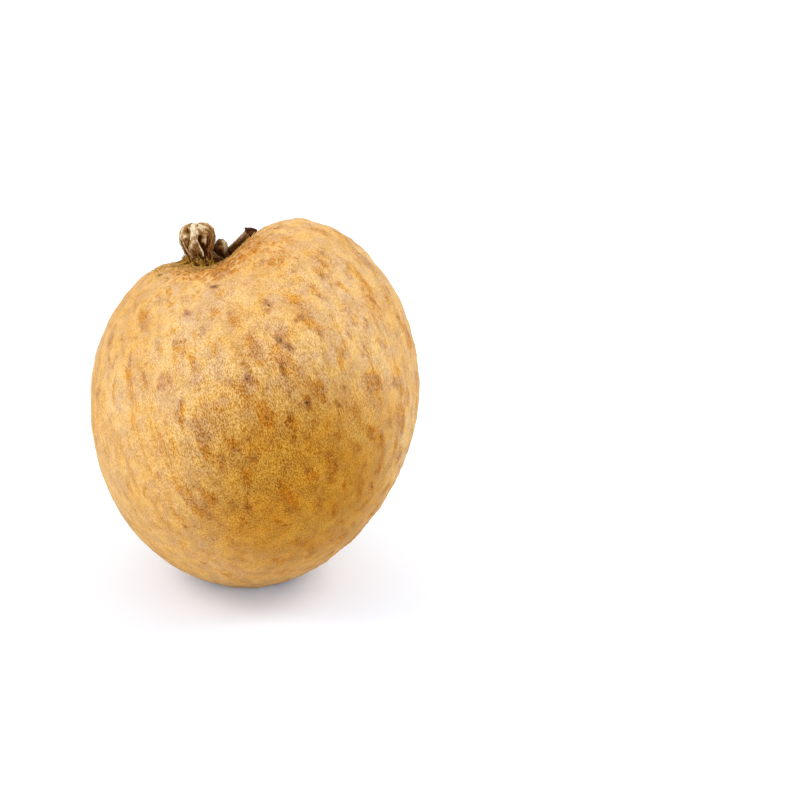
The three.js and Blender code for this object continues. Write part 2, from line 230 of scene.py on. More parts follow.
def scatter(index, kind):
    """Numbers from 0 to 1 that look random: the fraction of a large multiple of a sine."""
    wave = np.sin(np.asarray(index) * 12.9898 + kind * 78.233) * 43758.5453
    return wave - np.floor(wave)


def smooth_noise(points, seed=0):
    """Noise from -1 to 1: random values at whole-number places, blended between them by a quintic."""
    corner = np.floor(points).astype(np.int64)
    part = points - corner
    blend = part**3 * (part * (part * 6 - 15) + 10)
    total = np.zeros(points.shape[:-1])
    for step in itertools.product((0, 1), repeat=3):
        place = corner + step
        key = (place * (73856093, 19349663, 83492791)).sum(-1) + seed * 6542989
        key = (key ^ (key >> 13)) * 1274126177 & 0x7FFFFFFF
        key = (key ^ (key >> 16)) & 0xFFFF
        weight = np.where(step, blend, 1 - blend).prod(-1)
        total += weight * (key / 32767.5 - 1)
    return total


def layered_noise(points, octaves, seed=0):
    """Smooth noise with finer and weaker layers of itself added, each at twice the pitch."""
    return sum(smooth_noise(points * 2**k + 17.3 * k, seed + k) / 2**k for k in range(octaves))


def curve_through(knots, values, at):
    """Values at `at` on a smooth cubic through the knots, with slopes taken from the neighbours."""
    knots, values = np.asarray(knots, float), np.asarray(values, float)
    slopes = np.gradient(values, knots, axis=0)
    at = np.clip(at, knots[0], knots[-1])
    low = np.clip(np.searchsorted(knots, at, side="right") - 1, 0, len(knots) - 2)
    span = knots[low + 1] - knots[low]
    part = (at - knots[low]) / span
    if values.ndim > 1:
        part, span = part[..., None], span[..., None]
    return (
        (2 * part**3 - 3 * part**2 + 1) * values[low]
        + (part**3 - 2 * part**2 + part) * span * slopes[low]
        + (3 * part**2 - 2 * part**3) * values[low + 1]
        + (part**3 - part**2) * span * slopes[low + 1]
    )


def degrees_from(ways, axis):
    """Angles between unit vectors and an axis."""
    return np.degrees(np.arccos(np.clip(ways @ unit(np.asarray(axis, float)), -1, 1)))


def rind_radius(ways):
    """How far the smooth rind is from the middle of the fruit: an egg, plus its swells, less the dip."""
    axes = np.stack([facing(EGG_LEAN), facing(EGG_LEAN + 90), (0, 1, 0)], 1)
    radius = 1 / np.linalg.norm(ways @ axes / EGG_HALVES, axis=-1)
    for height, lean, spread in SWELLS:
        radius = radius + height * bell(degrees_from(ways, facing(lean)), spread)
    axis, aside = facing(*DIP_FACES), facing(DIP_FACES[0] + 90)
    ahead = ways @ axis
    across = np.degrees(np.arctan2(ways @ aside, ahead))
    along = np.degrees(np.arctan2(ways @ np.cross(axis, aside), ahead))
    dip = bell(across, DIP_SPREADS[0]) * bell(along, DIP_SPREADS[1])
    return radius - DIP_DEPTH * np.where(ahead > 0, dip, 0)


def above_rind(lean, back, lift=0.0):
    """Points at a height above the smooth rind."""
    ways = facing(lean, back)
    return CENTRE + ways * (rind_radius(ways) + lift)[..., None]


def turn_to(axis):
    """Unit vectors as rows: two across the axis, then the axis, by the least turn from straight up."""
    axis = unit(np.asarray(axis, float))
    return np.array(Vector((0, 0, 1)).rotation_difference(Vector(axis)).to_matrix()).T


def wart_places():
    """The warts' middles, sideways and downward: a sunflower spiral about the stalk, each strayed a bit."""
    index = np.arange(WART_COUNT)
    stray = WART_STRAY * 2 * math.sqrt(4 * math.pi / WART_COUNT)
    fall = np.arccos(1 - (2 * index + 1) / WART_COUNT) + stray * (scatter(index, 1) - 0.5)
    turn = index * GOLDEN_ANGLE + stray * (scatter(index, 2) - 0.5) / np.maximum(np.sin(fall), 0.2)
    axes = turn_to(facing(*STALK_FOOT))
    middles = from_pole(fall, turn)[..., [1, 0, 2]] @ axes
    across = unit(np.cross(axes[2], middles))
    return middles, across, np.cross(middles, across)


# ---------------------------------------------------------------------------------------------------
# Meshes
# ---------------------------------------------------------------------------------------------------

def new_piece(name, points, faces, fields, material, stands_for=()):
    """A mesh object at the origin with smooth faces, its fields as point attributes, riding on the body."""
    mesh = bpy.data.meshes.new(name)
    mesh.from_pydata(points.tolist(), [], faces)
    for field, values in fields.items():
        kind = "FLOAT" if values.ndim == 1 else "FLOAT_VECTOR"
        layer = mesh.attributes.new(field, kind, "POINT")
        layer.data.foreach_set("value" if kind == "FLOAT" else "vector", values.astype(np.float32).ravel())
    mesh.polygons.foreach_set("use_smooth", np.ones(len(mesh.polygons), bool))
    mesh.materials.append(material)
    piece = bpy.data.objects.new(name, mesh)
    bpy.context.scene.collection.objects.link(piece)
    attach(piece, "root")
    if stands_for:
        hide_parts(*stands_for)


def new_skin(name, rings, fields, material, stands_for=()):
    """A piece whose skin is a stack of rings, closed by a point amid its first ring and amid its last."""
    fields = {field: with_poles(values) for field, values in fields.items()}
    new_piece(name, with_poles(rings), closed_faces(*rings.shape[:2]), fields, material, stands_for)


def closed_faces(rows, columns):
    """Faces of a grid of rings that closes on itself round each ring and at a point before and after."""
    row, column = np.meshgrid(np.arange(rows - 1), np.arange(columns), indexing="ij")
    after = (column + 1) % columns
    quads = np.stack([row, row + 1, row + 1, row], -1) * columns
    quads += np.stack([column, column, after, after], -1)
    ring = np.arange(columns)
    after = (ring + 1) % columns
    first, last, end = rows * columns, rows * columns + 1, (rows - 1) * columns
    starts = np.stack([np.full(columns, first), ring, after], -1)
    ends = np.stack([np.full(columns, last), end + after, end + ring], -1)
    return quads.reshape(-1, 4).tolist() + starts.tolist() + ends.tolist()


def with_poles(rings):
    """The rings' values as one list, followed by the mean of the first ring and of the last."""
    flat = rings.reshape(-1, *rings.shape[2:])
    return np.concatenate([flat, rings[:1].mean(1), rings[-1:].mean(1)])


def tube_rings(path, radii, columns, side, squash=1.0):
    """Rings round a path, each of its own radius, started on the given side and squashed across it."""
    tangent = unit(np.gradient(path, axis=0))
    first = unit(side - tangent * (tangent @ side)[:, None])
    second = np.cross(tangent, first) * squash
    turn = np.linspace(0, 2 * np.pi, columns, endpoint=False)
    round_it = np.cos(turn)[:, None] * first[:, None] + np.sin(turn)[:, None] * second[:, None]
    radii = radii[:, None] if radii.ndim == 1 else radii
    return path[:, None] + round_it * radii[..., None]


def join(parts):
    """Several closed tubes as one mesh: points, faces and fields, with the faces' numbers moved on."""
    points, faces, fields, count = [], [], {}, 0
    for rings, tube_fields in parts:
        flat = with_poles(rings)
        faces += [[corner + count for corner in face] for face in closed_faces(*rings.shape[:2])]
        points.append(flat)
        for name, values in tube_fields.items():
            fields.setdefault(name, []).append(values if np.ndim(values) else np.full(len(flat), values))
        count += len(flat)
    return np.concatenate(points), faces, {name: np.concatenate(values) for name, values in fields.items()}


# ---------------------------------------------------------------------------------------------------
# Materials
# ---------------------------------------------------------------------------------------------------

class Wire:
    """A socket in a node tree. Arithmetic on it adds Math nodes to the tree."""

    def __init__(self, graph, socket):
        self.graph, self.socket = graph, socket

    def maths(self, operation, *values):
        return self.graph.node("ShaderNodeMath", {"operation": operation}, dict(enumerate(values)))

    def __add__(self, other):
        return self.maths("ADD", self, other)

    def __sub__(self, other):
        return self.maths("SUBTRACT", self, other)

    def __rsub__(self, other):
        return self.maths("SUBTRACT", other, self)

    def __mul__(self, other):
        return self.maths("MULTIPLY", self, other)

    def __pow__(self, other):
        return self.maths("POWER", self, other)

    def __neg__(self):
        return self.maths("MULTIPLY", self, -1.0)

    __radd__, __rmul__ = __add__, __mul__

    def clamp(self):
        return self.graph.node("ShaderNodeClamp", {}, {0: self})

    def at_least(self, other):
        return self.maths("MAXIMUM", self, other)

    def step(self, low, high):
        """0 below low and 1 above high, with a smooth slope between."""
        return self.graph.node(
            "ShaderNodeMapRange",
            {"interpolation_type": "SMOOTHSTEP"},
            {"Value": self, "From Min": low, "From Max": high},
        )


class Graph:
    """A node tree that is filled in by calls."""

    def __init__(self, tree):
        self.tree = tree
        tree.nodes.clear()

    def node(self, kind, settings, sockets, output=0):
        """Adds a node: its settings first, such as a Math node's operation, then its sockets."""
        made = self.tree.nodes.new(kind)
        for name, value in settings.items():
            setattr(made, name, value)
        for name, value in sockets.items():
            if isinstance(value, Wire):
                self.tree.links.new(value.socket, made.inputs[name])
            else:
                made.inputs[name].default_value = value
        return Wire(self, made.outputs[output]) if made.outputs else None

    def field(self, name):
        """A value that the mesh holds at each point."""
        return self.node("ShaderNodeAttribute", {"attribute_name": name}, {}, "Fac")

    def vector_field(self, name):
        return self.node("ShaderNodeAttribute", {"attribute_name": name}, {}, "Vector")

    def place(self):
        """The point's place on the object, in metres."""
        return self.node("ShaderNodeTexCoord", {}, {}, "Object")

    def stretched(self, vector, scale):
        return self.node("ShaderNodeMapping", {}, {"Vector": vector, "Scale": scale})

    def noise(self, vector, scale, detail=2.0, roughness=0.5, distortion=0.0):
        sockets = {"Vector": vector, "Scale": scale, "Detail": detail, "Roughness": roughness}
        return self.node("ShaderNodeTexNoise", {}, {**sockets, "Distortion": distortion})

    def mix(self, amount, below, above, blend="MIX"):
        """One colour over another by an amount."""
        below, above = (c if isinstance(c, Wire) else (*c, 1) for c in (below, above))
        settings = {"data_type": "RGBA", "blend_type": blend, "clamp_factor": True}
        return self.node("ShaderNodeMix", settings, {0: amount, 6: below, 7: above}, 2)

    def tint(self, amount, below, left):
        """A colour of which only a part is left, by an amount: the two are multiplied."""
        return self.mix(amount, below, left, "MULTIPLY")

    def bump(self, height, distance, strength):
        sockets = {"Height": height, "Distance": distance, "Strength": strength}
        return self.node("ShaderNodeBump", {}, sockets)


def surface(name, sockets_from):
    """A material with one Principled shader, whose sockets the given function works out on a graph."""
    material = bpy.data.materials.new(name)
    material.use_nodes = True
    graph = Graph(material.node_tree)
    shader = graph.node("ShaderNodeBsdfPrincipled", {}, sockets_from(graph))
    graph.node("ShaderNodeOutputMaterial", {}, {"Surface": shader})
    return material


def rind_material(colours):
    """Tan rind: a pale net between browner warts, rough and flaky round the stalk, velvety all over.

    Most of the colours are the share of the tan below them that is left, so that marks which lie over each
    other grow darker. The noises on `line` run down the fruit, from the stalk to the blossom end.
    """

    def sockets(graph):
        place, line = graph.place(), graph.vector_field("line")
        crown = graph.field("crown")
        ragged = graph.noise(line, 900, 3, 0.6)
        mottle = graph.noise(graph.stretched(line, (1, 1, 0.6)), 2300, 2, 0.6)
        fur = graph.noise(graph.stretched(line, (1, 1, 0.42)), 11500, 1, 0.6)
        fine = graph.noise(place, 4300, 1, 0.5)
        flaky = graph.noise(place, 1000, 2, 0.6, 2.6)

        # Clouds of a warmer tan, which is all round the underside: there it is partly painted shade, the
        # warmer cast under the fruit.
        cloud = graph.noise(place, 170, 3)
        warm = (cloud.step(0.35, 0.68) + graph.field("under_shade") * 0.7).clamp()
        tan = graph.mix(warm, colours.rind, colours.rind_warm)

        # Warts, greyer in places, with ragged edges that turn flaky towards the stalk.
        patch = graph.field("wart") + (ragged - 0.5) * 1.2 + (mottle - 0.5) * 1.1
        patch = (patch + (flaky - 0.5) * 3.6 * crown**0.2).step(0.28, 1.15)
        cool = graph.noise(place, 700, 1)
        tan = graph.tint(patch, tan, graph.mix(cool.step(0.42, 0.6), colours.wart, colours.wart_cool))

        # The rough brown crown round the stalk, and fine wrinkles that run down from it.
        rough = crown * (1 + (flaky - 0.5) * 4.0 + (mottle - 0.5) * 2.0)
        tan = graph.tint(rough.step(0.15, 0.95), tan, colours.crown)
        wrinkle = graph.noise(graph.stretched(line, (1, 1, 0.1)), 1500, 2, 0.6)
        tan = graph.tint(wrinkle.step(0.52, 0.7) * 0.7, tan, colours.wrinkle)

        # Scars, each bruised round its edge, the riper side, which is also painted shade, and the pits.
        scar = graph.field("stain") + (ragged - 0.5) * 0.8 + (mottle - 0.5) * 2.4
        tan = graph.tint(scar.step(0.2, 0.8), tan, colours.bruise)
        tan = graph.mix(scar.step(0.7, 1.6) * 0.75, tan, colours.scar)
        # The riper side's browner tan is also painted shade, darkest low in front on the right.
        tan = graph.tint(graph.field("ripe_and_shade"), tan, colours.ripe_and_shade)
        tan = graph.mix(graph.field("dot").step(0.25, 0.8) * 0.85, tan, colours.dot)

        # Faint yellower and greyer blots, and short dark streaks, most of them on the warts.
        honey = graph.noise(place, 1150, 2, 0.6)
        tan = graph.tint(honey.step(0.32, 0.68), tan, colours.honey)
        veil = graph.noise(graph.stretched(place, (1, 1, 0.8)), 850, 1)
        tan = graph.tint(veil.step(0.32, 0.68), tan, colours.veil)
        streak = graph.noise(graph.stretched(line, (1, 1, 0.4)), 3600, 1)
        tan = graph.tint(streak.step(0.62, 0.78) * (0.3 + patch * 0.7), tan, colours.streak)

        # The velvety grain, strongest on the warts and on the furry side.
        depth = graph.field("furry") * (0.85 + patch * 0.5)
        grain = 0.56 + ((fur - 0.5) * 2.7 + (fine - 0.5) * 0.4) * depth + (mottle - 0.5) * 0.15
        tan = graph.tint(1.0, tan, graph.mix(grain.clamp(), colours.grain_dark, colours.grain_light))
        return {
            "Base Color": tan,
            "Roughness": 0.68 + fine * 0.2,
            "Specular IOR Level": 0.05,
            "Sheen Weight": 0.02,
            "Sheen Roughness": 0.45,
            "Sheen Tint": (1.0, 0.9, 0.72, 1.0),
            "Normal": graph.bump(fur * 0.35 + fine * 0.3 + mottle * 0.9, 0.022 * MM, 0.8),
        }

    return surface("rind", sockets)


def wood_material(name, pale, middle, dark, red):
    """Dry wood: its hollows dark and its ridges pale by the `tone` field, with some reddish parts.

    The tone is partly the wood's own and partly painted: painted shade in the hollows and on shaded
    sides, painted light on the ridges and lit sides.
    """

    def sockets(graph):
        place = graph.place()
        line = graph.vector_field("line")
        fibre = graph.noise(graph.stretched(line, (1, 1, 0.35)), 4200, 3, 0.6)
        mottle = graph.noise(place, 2600, 3, 0.6)
        speck = graph.noise(place, 7500, 1, 0.5)
        height = graph.field("tone") + (fibre - 0.5) * 1.1 + (mottle - 0.5) * 1.1
        wood = graph.mix(height.step(-1.1, 0.2), dark, middle)
        wood = graph.mix(height.step(0.0, 1.1), wood, pale)
        wood = graph.mix((graph.field("red") + (mottle - 0.5) * 1.2).step(0.2, 1.2) * 0.7, wood, red)
        wood = graph.mix((0.5 - speck).step(0.02, 0.25) * 0.5, wood, dark)
        return {
            "Base Color": wood,
            "Roughness": 0.78 + fibre * 0.2,
            "Specular IOR Level": 0.04,
            "Normal": graph.bump(fibre * 0.6 + mottle * 0.5 + speck * 0.35, 0.07 * MM, 0.9),
        }

    return surface(name, sockets)


def fibre_material(name, low, high):
    """Short dry fibres whose colour runs from one to the other by the `tone` field, darker at the root."""

    def sockets(graph):
        tone = graph.field("tone")
        tip = graph.field("tip")
        place = graph.noise(graph.place(), 2600, 2)
        colour = graph.mix((tone + (place - 0.5) * 0.5).clamp(), low, high)
        colour = graph.mix((1 - tip) * 0.45, colour, (0.10, 0.04, 0.006))
        return {
            "Base Color": colour,
            "Roughness": 0.7 + place * 0.2,
            "Specular IOR Level": 0.1,
            "Normal": graph.bump(place, 0.02 * MM, 0.5),
        }

    return surface(name, sockets)


# ---------------------------------------------------------------------------------------------------
# Settings that a user would change
# ---------------------------------------------------------------------------------------------------

def length(name, description, default):
    return FloatProperty(name=name, description=description, default=default, unit="LENGTH", precision=5)


def colour(name, description, default):
    return FloatVectorProperty(
        name=name, description=description, default=default, subtype="COLOR", size=3, min=0, max=1
    )


class LonganShape(bpy.types.PropertyGroup):
    """How fine the meshes are, and how high the warts and how long the fibres."""

    rind_columns: IntProperty(name="Rind columns", description="Mesh columns round the fruit", default=440)
    rind_rows: IntProperty(name="Rind rows", description="Mesh rows from stalk to blossom end", default=214)
    wart_height: length("Wart height", "How far the rind's warts stand up", 0.07 * MM)
    stub_columns: IntProperty(name="Stub columns", description="Mesh columns round the stub", default=300)
    stub_rows: IntProperty(name="Stub rows", description="Mesh rows up the stub", default=190)
    collar_count: IntProperty(name="Collar", description="Fibres round the stalk's foot", default=2800)
    collar_length: length("Collar length", "Longest of the fibres round the foot", 1.15 * MM)
    down_count: IntProperty(name="Down", description="Fine fibres on the rough rind", default=1500)
    down_length: length("Down length", "Longest of the fine fibres on the rind", 0.32 * MM)


class LonganColours(bpy.types.PropertyGroup):
    """Colours, most of those of the rind as the share that each leaves of the tan below it."""

    rind: colour("Rind", "Pale tan between the warts", (0.98, 0.69, 0.37))
    # The warm rind colour also paints the warmer shade on the underside.
    rind_warm: colour("Warm rind", "Oranger clouds in the tan", (0.95, 0.60, 0.245))
    wart: colour("Wart", "What the warts leave of the tan", (0.89, 0.72, 0.41))
    wart_cool: colour("Cool wart", "What the greyer warts leave of the tan", (0.78, 0.70, 0.74))
    bruise: colour("Bruise", "What is left of the tan round a scar", (0.78, 0.68, 0.69))
    scar: colour("Scar", "Dark olive brown of old scars", (0.22, 0.16, 0.095))
    wrinkle: colour("Wrinkle", "What the long fine wrinkles leave of the tan", (0.85, 0.73, 0.48))
    streak: colour("Streak", "What the short streaks leave of the tan", (0.65, 0.54, 0.30))
    dot: colour("Dot", "Near black of the small pits", (0.055, 0.032, 0.02))
    crown: colour("Stalk end", "What is left of the tan round the stalk", (0.74, 0.53, 0.24))
    ripe_and_shade: colour("Ripe side", "What the riper side leaves of the tan", (0.64, 0.49, 0.138))
    # The ripe side's colour also paints shade over the lower front of the rind.
    honey: colour("Honey", "What the yellower patches leave of the tan", (0.98, 0.93, 0.72))
    veil: colour("Veil", "What the greyer patches leave of the tan", (0.84, 0.83, 1.0))
    grain_dark: colour("Dark grain", "What the grain's dark specks leave", (0.50, 0.35, 0.10))
    grain_light: colour("Light grain", "What the grain's light specks leave", (0.99, 1.0, 1.0))
    # The pale and dark wood and bark colours also carry painted light on ridges and lit sides and painted
    # shade in hollows.
    wood_pale: colour("Pale wood", "Ridges of the stub", (0.83, 0.715, 0.485))
    wood: colour("Wood", "Flanks of the stub", (0.37, 0.20, 0.066))
    wood_dark: colour("Dark wood", "Hollows of the stub", (0.060, 0.019, 0.0025))
    wood_red: colour("Red wood", "Reddish parts of the stub", (0.42, 0.15, 0.04))
    twig_pale: colour("Pale bark", "Ridges of the side twig", (0.64, 0.49, 0.33))
    twig: colour("Bark", "Bark of the side twig", (0.20, 0.098, 0.025))
    twig_dark: colour("Dark bark", "Cracks of the side twig", (0.032, 0.011, 0.003))
    twig_red: colour("Red bark", "Reddish parts of the side twig", (0.12, 0.035, 0.018))
    hair_low: colour("Brown fibre", "Darker fibres at the stalk's foot", (0.13, 0.042, 0.005))
    hair_high: colour("Yellow fibre", "Lighter fibres at the stalk's foot", (0.77, 0.42, 0.055))
    down_low: colour("Brown down", "Darker fine fibres on the rind", (0.34, 0.16, 0.035))
    down_high: colour("Golden down", "Lighter fine fibres on the rind", (0.82, 0.52, 0.15))


class LonganStudio(bpy.types.PropertyGroup):
    """Where the camera stands and how it frames the fruit."""

    fruit_pixel: FloatVectorProperty(
        name="Fruit's pixel", description="Where the fruit's middle is in a frame of 793 pixels",
        default=(257.6, 403.7), size=2,
    )
    elevation: FloatProperty(
        name="Camera elevation", description="Angle of the camera above the floor",
        default=math.radians(20), subtype="ANGLE",
    )
    distance: length("Camera distance", "From the camera to the fruit's middle", 0.42)
    pixels_per_metre: FloatProperty(
        name="Pixels per metre", description="Size of the fruit in the frame", default=12000
    )


# ---------------------------------------------------------------------------------------------------
# Pieces
# ---------------------------------------------------------------------------------------------------

def stub_frame():
    """The stub's foot, and three unit vectors: to the right across it, to the back across it, and up it."""
    foot = above_rind(*STALK_FOOT)
    up = unit(above_rind(*STALK_TOP) - foot)
    right = unit(np.array([1.0, 0, 0]) - up * up[0])
    return foot, right, np.cross(up, right), up


def route_nearness(turn, height, route, width):
    """1 on a route drawn on the stub's skin, falling off as a bell with the distance from it in mm."""
    per_degree = math.radians(1) * STUB_GIRTH
    nearest = np.full(turn.shape, np.inf)
    for (turn_a, height_a), (turn_b, height_b) in zip(route, route[1:]):
        run = np.array([(turn_b - turn_a) * per_degree, height_b - height_a])
        away = np.stack([((turn - turn_a + 540) % 360 - 180) * per_degree, height - height_a], -1)
        part = np.clip(away @ run / (run @ run), 0, 1)
        nearest = np.minimum(nearest, np.linalg.norm(away - part[..., None] * run, axis=-1))
    return bell(nearest, width)


def stub_relief(turn, height):
    """How far the stub's ridges and hollows stand out in mm, and their tone and redness."""
    relief = np.zeros((3, *turn.shape))
    for out, tone, red, width, route in STUB_MARKS:
        near = route_nearness(turn, height, route, width)
        relief += np.multiply.outer((out, tone, red), near)
    return relief


def stub_points(turn, height, lift):
    """Points on the stub's skin, at turns, heights and lifts above its smooth profile in mm."""
    foot, right, behind, up = stub_frame()
    heights, radii = np.array(STUB_PROFILE).T
    angle = np.radians(turn)[..., None]
    out = np.cos(angle) * right + np.sin(angle) * behind
    radius = curve_through(heights, radii, height) + lift
    return foot + (up * height[..., None] + out * radius[..., None]) * MM, out


class LONGAN_OT_rind(bpy.types.Operator):
    """Build the rind: one closed surface with warts, marks and a flat rest spot"""

    bl_idname = "longan.rind"
    bl_label = "Rind"

    def execute(self, context):
        """Rings about the stalk's axis: each point lies on its way out from the middle as far as the smooth
        rind and its relief together, and nothing reaches below the rest spot."""
        shape, colours = context.scene.longan_shape, context.scene.longan_colours
        part = np.linspace(0, 1, shape.rind_rows + 2)[1:-1, None]
        fall = np.pi * part * (0.7 + 0.3 * part)  # rows lie closer near the stalk
        turn = np.linspace(0, 2 * np.pi, shape.rind_columns, endpoint=False)
        local = from_pole(fall, turn)
        axes = turn_to(facing(*STALK_FOOT))
        ways = local @ axes
        line = np.stack([local[..., 0], local[..., 1], fall + 0 * turn], -1) * EGG_HALVES[2]
        crown = degrees_from(ways, facing(*CROWN_FACES))
        wart, stain, dot = np.zeros((3, *ways.shape[:2]))
        self.add_warts(ways, wart, stain, dot)
        self.add_marks(ways, axes[2], wart, stain, dot)

        relief = self.relief(shape.wart_height, ways, line, crown, wart, dot)
        points = CENTRE + ways * (rind_radius(ways) + relief)[..., None]
        points[..., 2] = np.maximum(points[..., 2], 0)
        furry = 0.55 + 1.25 * bell(degrees_from(ways, FURRY_FACES), FURRY_SPREAD)
        fields = {
            "wart": wart, "stain": stain, "dot": dot, "line": line,
            "crown": bell(crown, CROWN_SPREAD),
            "under_shade": bell(degrees_from(ways, UNDER_SHADE_FACES), UNDER_SHADE_SPREAD),
            "ripe_and_shade": np.exp(-((degrees_from(ways, RIPE_AND_SHADE_FACES) / RIPE_AND_SHADE_SPREAD) ** 4)),
            "furry": furry + 0.2 * layered_noise(ways * 6, 2, 61),
        }
        new_skin("rind", points, fields, rind_material(colours), ("fruit",))
        return {"FINISHED"}

    def add_warts(self, ways, wart, stain, dot):
        """Adds each wart, a bell along it times a bell across it. Some are stained and a few are pitted."""
        # The warts are read at places bent a little by noise, so that no two are alike.
        bent = unit(ways + 0.03 * np.stack([layered_noise(ways * 9 + 40 * k, 2, k) for k in range(3)], -1))
        middles, across, down = wart_places()
        index = np.arange(WART_COUNT)
        long = 3.0 + 2.4 * scatter(index, 4)
        wide = 1.6 + 1.1 * scatter(index, 5)
        towards = 0.38 * middles @ unit(np.array(PATCHY_FACES))
        patchy = 0.66 + 0.35 * layered_noise(middles * 1.7, 2, 7) + towards
        size = np.clip(patchy, 0.25, 1.4) * (0.45 + 0.9 * scatter(index, 3))
        scarred = np.clip(patchy, 0.3, 1.3) * np.clip(scatter(index, 6) * 2.4 - 1.7, 0, 0.6)
        dotted = 1.0 * (scatter(index, 8) > 0.965) * (patchy > 0.9)
        for k in index:
            near = bent @ middles[k] > WART_REACH
            aside = np.degrees(bent[near] @ across[k])
            along = np.degrees(bent[near] @ down[k])
            wart[near] += size[k] * bell(aside, wide[k]) * bell(along, long[k])
            stain[near] += scarred[k] * bell(aside, 0.6 * wide[k]) * bell(along, 0.8 * long[k])
            dot[near] += dotted[k] * bell(aside, 0.6) * bell(along, 0.7)

    def add_marks(self, ways, pole, wart, stain, dot):
        """Adds each mark in the same way, along its own slanting axis, with a small round pit amid some."""
        for lean, back, half_wide, half_long, slant, brown, scar, pit in RIND_MARKS:
            middle = facing(lean, back)
            near = ways @ middle > MARK_REACH
            side = unit(np.cross(pole, middle))
            ahead = np.cross(middle, side)
            turned, tilt = math.cos(math.radians(slant)), math.sin(math.radians(slant))
            aside = np.degrees(ways[near] @ (side * turned + ahead * tilt))
            along = np.degrees(ways[near] @ (ahead * turned - side * tilt))
            hump = bell(aside, half_wide) * bell(along, half_long)
            wart[near] += brown * hump
            stain[near] += scar * hump
            dot[near] += pit * bell(aside, PIT_HALF) * bell(along, PIT_HALF)

    def relief(self, wart_height, ways, line, crown, wart, dot):
        """Height on the smooth rind: warts less pits, broad and fine noise, more of it round the stalk, and
        low ribs that run down from there."""
        relief = wart_height * (np.minimum(wart, 1.5) - 0.35) - 0.05 * MM * dot
        relief += 0.045 * MM * layered_noise(ways * 9, 2, 63) + 0.018 * MM * layered_noise(ways * 55, 3, 11)
        relief += MM * layered_noise(ways * 24, 2, 64) * (0.02 + 0.07 * bell(crown, CRUMPLED_SPREAD))
        return relief + 0.03 * MM * layered_noise(line / MM * (2.2, 2.2, 0.3), 2, 65)


class LONGAN_OT_stub(bpy.types.Operator):
    """Build the stub: a swollen, folded end of dry wood with torn strips of fibre on it"""

    bl_idname = "longan.stub"
    bl_label = "Stub"

    def execute(self, context):
        colours = context.scene.longan_colours
        tones = (colours.wood_pale, colours.wood, colours.wood_dark, colours.wood_red)
        material = wood_material("stub_wood", *tones)
        self.body(context.scene.longan_shape, material)
        self.strips(material)
        return {"FINISHED"}

    def body(self, shape, material):
        """Rings up the stub's profile, moved out by its marks, its knots and its broken top's teeth."""
        rows, columns = shape.stub_rows, shape.stub_columns
        height = np.linspace(-STUB_SUNK, STUB_PROFILE[-1][0], rows)[:, None] + np.zeros(columns)
        turn = np.linspace(-180, 180, columns, endpoint=False) + np.zeros((rows, 1))
        twist = np.radians(turn + height * STUB_TWIST)
        around = np.stack([np.cos(twist) * STUB_GIRTH, np.sin(twist) * STUB_GIRTH, height], -1)
        knots = layered_noise(around * (2.4, 2.4, 1.3), 4, 3)
        fibres = layered_noise(around * (6.5, 6.5, 2.2), 3, 8)
        out, tone, red = stub_relief(turn, height)
        lift = out + (0.075 * knots + 0.045 * fibres) * np.clip(height + 0.4, 0.2, 1)
        points, _ = stub_points(turn, height, lift)
        teeth = layered_noise(around * (4.2, 4.2, 0.5), 2, 5) * np.clip((height - STUB_TORN) / 0.4, 0, 1)
        points += stub_frame()[3] * (0.13 * MM * teeth)[..., None]
        fields = {
            "tone": 0.85 * tone + 0.5 * knots + 0.5 * fibres - 0.3 + 0.45 * np.clip(height - 2.1, -1.6, 1),
            "red": red + 0.35 * np.clip(knots, -1, 1),
            "line": around * MM,
        }
        new_skin("stub", points, fields, material, ("stalk",))

    def strips(self, material):
        """Torn strips of fibre: flattened tapered tubes that run down the stub's skin."""
        steps, columns = 30, 12
        parts, part = [], np.linspace(0, 1, steps)
        for width, lift, tone, red, route in STUB_STRIPS:
            turn, height = curve_through(np.linspace(0, 1, len(route)), np.array(route, float), part).T
            out, _, _ = stub_relief(turn, height)
            middle, outward = stub_points(turn, height, out + lift)
            radii = width / 2 * MM * (0.3 + 0.7 * np.sin(np.pi * np.clip(part * 0.85 + 0.1, 0, 1)) ** 0.6)
            side = unit(np.cross(outward[steps // 2], middle[-1] - middle[0]))
            rings = tube_rings(middle, radii, columns, side, 0.5)
            wobble = layered_noise(rings / MM * 6, 2, 21)
            rings = rings + outward[:, None] * (0.035 * MM * wobble)[..., None]
            flat = with_poles(rings)
            parts.append((rings, {"tone": tone + 0.5 * with_poles(wobble), "red": red, "line": flat}))
        points, faces, fields = join(parts)
        new_piece("stub_strips", points, faces, fields, material)


